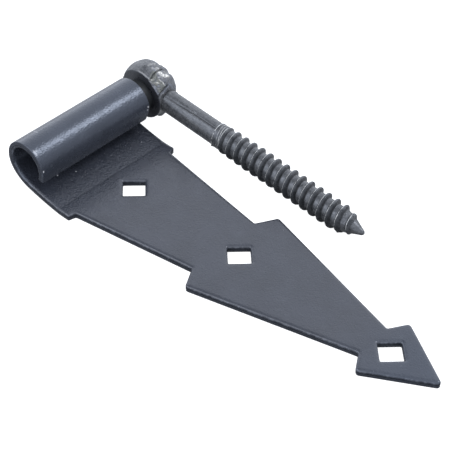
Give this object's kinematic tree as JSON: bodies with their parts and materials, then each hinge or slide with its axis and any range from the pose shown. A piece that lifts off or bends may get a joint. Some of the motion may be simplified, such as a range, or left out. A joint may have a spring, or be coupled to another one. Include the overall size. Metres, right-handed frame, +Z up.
{
  "type": "screw hook and strap hinge",
  "caption": "Black gate hinge: spear-tipped strap with a rolled barrel that turns on, and lifts off, a ball-headed screw hook.",
  "frame": {"origin": "on the pin axis, at the middle of the rolled barrel, which is the middle of the eye", "axes": "+X along the strap from the barrel to its spear tip, +Y along the pin axis towards the ball head, +Z up, square to the flat strap"},
  "size_m": [0.2126, 0.0887, 0.0292],
  "materials": {
    "strap_coat": "satin black powder coat over sheared and rolled steel sheet",
    "pin_coat": "satin black coat over turned steel",
    "ball_coat": "semi-gloss black coat over a rough forged ball, ground where it meets the shank",
    "lag_coat": "semi-gloss black coat over rolled steel thread, worn bright on the crests"
  },
  "bodies": {
    "hook": {"ball_head": "ball_coat", "lag_screw": "lag_coat"},
    "pin": {"pintle_pin": "pin_coat"},
    "leaf": {"strap_leaf": "strap_coat"}
  },
  "joints": [
    {"name": "leaf_swing", "type": "hinge", "parent": "hook", "child": "pin", "pos_m": [0, 0, 0], "axis": [0, 1, 0], "continuous": true},
    {"name": "leaf_lift_off", "type": "slide", "parent": "pin", "child": "leaf", "axis": [0, -1, 0], "range_m": [-0.0055, 0.05]}
  ]
}
